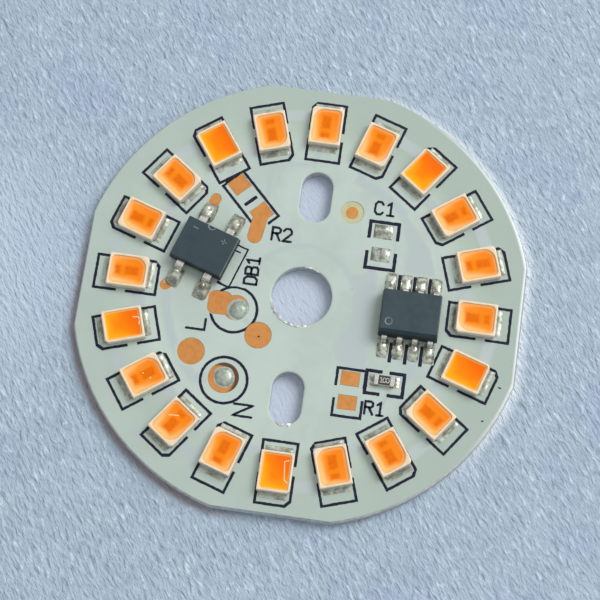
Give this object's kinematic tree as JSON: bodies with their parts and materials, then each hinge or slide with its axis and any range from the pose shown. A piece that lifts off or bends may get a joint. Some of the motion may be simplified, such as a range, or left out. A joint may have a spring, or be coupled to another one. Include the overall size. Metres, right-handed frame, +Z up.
{
  "type": "driver-on-board LED module",
  "caption": "Round white metal-core LED board: a ring of warm LEDs, a bridge rectifier, a driver chip, a resistor and bare copper lands, with a centre hole and two slots",
  "frame": {"origin": "centre of the disc on its bare aluminium underside", "axes": "+Z up from the underside through the LEDs; +Y along the line of the two fixing slots, towards the end by the slanting lands; +X to the driver chip"},
  "size_m": [0.0366, 0.0366, 0.0026],
  "materials": {
    "core_aluminium": "satin",
    "insulation_resin": "matte",
    "bare_copper": "satin",
    "white_mask": "semi-gloss",
    "dark_ink": "matte",
    "led_housing": "satin",
    "phosphor_pale": "gloss",
    "phosphor_deep": "gloss",
    "plated_frame": "satin",
    "led_die": "matte",
    "solder": "satin",
    "dark_moulding": "matte",
    "tinned_lead": "satin",
    "resistor_ceramic": "matte",
    "resistor_overcoat": "semi-gloss"
  },
  "bodies": {
    "root": {"base_plate": "core_aluminium", "insulation": "insulation_resin", "copper_foil": "bare_copper", "solder_mask": "white_mask", "print": "dark_ink", "led_01_housing": "led_housing", "led_02_housing": "led_housing", "led_03_housing": "led_housing", "led_04_housing": "led_housing", "led_05_housing": "led_housing", "led_06_housing": "led_housing", "led_07_housing": "led_housing", "led_08_housing": "led_housing", "led_09_housing": "led_housing", "led_10_housing": "led_housing", "led_11_housing": "led_housing", "led_12_housing": "led_housing", "led_13_housing": "led_housing", "led_14_housing": "led_housing", "led_15_housing": "led_housing", "led_16_housing": "led_housing", "led_17_housing": "led_housing", "led_18_housing": "led_housing", "led_19_housing": "led_housing", "led_20_housing": "led_housing", "led_01_phosphor": "phosphor_pale", "led_02_phosphor": "phosphor_pale", "led_03_phosphor": "phosphor_deep", "led_04_phosphor": "phosphor_pale", "led_05_phosphor": "phosphor_pale", "led_06_phosphor": "phosphor_pale", "led_07_phosphor": "phosphor_deep", "led_08_phosphor": "phosphor_pale", "led_09_phosphor": "phosphor_pale", "led_10_phosphor": "phosphor_pale", "led_11_phosphor": "phosphor_deep", "led_12_phosphor": "phosphor_pale", "led_13_phosphor": "phosphor_pale", "led_14_phosphor": "phosphor_pale", "led_15_phosphor": "phosphor_deep", "led_16_phosphor": "phosphor_pale", "led_17_phosphor": "phosphor_pale", "led_18_phosphor": "phosphor_pale", "led_19_phosphor": "phosphor_deep", "led_20_phosphor": "phosphor_pale", "led_frames": "plated_frame", "led_dies": "led_die", "led_solder": "solder", "bridge_body": "dark_moulding", "bridge_leads": "tinned_lead", "bridge_solder": "solder", "driver_body": "dark_moulding", "driver_leads": "tinned_lead", "driver_solder": "solder", "resistor_core": "resistor_ceramic", "resistor_coat": "resistor_overcoat", "resistor_caps": "tinned_lead", "land_solder": "solder"}
  },
  "joints": []
}
